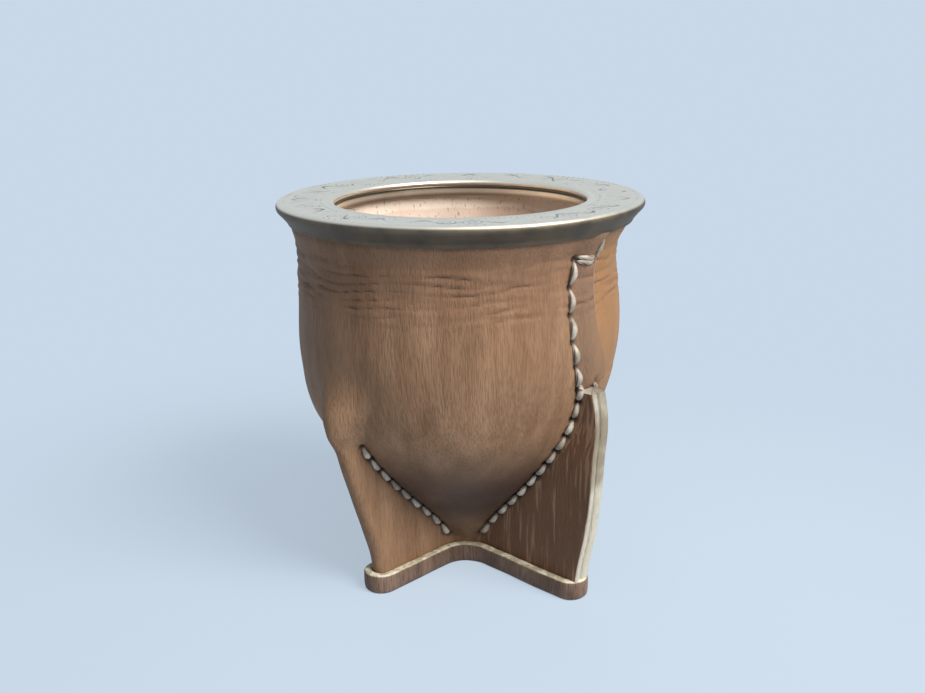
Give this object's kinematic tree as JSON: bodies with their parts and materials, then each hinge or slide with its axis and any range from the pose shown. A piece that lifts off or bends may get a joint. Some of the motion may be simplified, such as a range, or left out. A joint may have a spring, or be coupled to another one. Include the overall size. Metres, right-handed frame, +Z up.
{
  "type": "mate gourd cup",
  "caption": "Hollow gourd drinking cup in a sewn leather cover, with a flat metal rim round the mouth and leather fins that stand on a banded cross-shaped foot.",
  "frame": {"origin": "on the floor, under the centre of the rim", "axes": "+Z up; -Y is the front, between the seam fin on the right and a folded fin on the left"},
  "size_m": [0.095, 0.095, 0.1008],
  "materials": {
    "gourd_wood": "dry porous calabash",
    "rim_metal": "polished nickel silver with fine engraving, slightly worn",
    "cover_leather": "waxed vegetable-tanned leather, wrinkled at the neck",
    "band_leather": "waxed leather with a raw cut edge",
    "lace_leather": "dry rawhide lace"
  },
  "bodies": {
    "root": {"gourd": "gourd_wood", "metal_rim": "rim_metal", "leather_cover": "cover_leather", "foot_band": "band_leather", "lace_side_seam": "lace_leather", "lace_front_right_right_face": "lace_leather", "lace_back_right_right_face": "lace_leather", "lace_back_right_back_face": "lace_leather", "lace_back_left_back_face": "lace_leather", "lace_back_left_left_face": "lace_leather", "lace_front_left_left_face": "lace_leather", "lace_front_left_front_face": "lace_leather"}
  },
  "joints": []
}
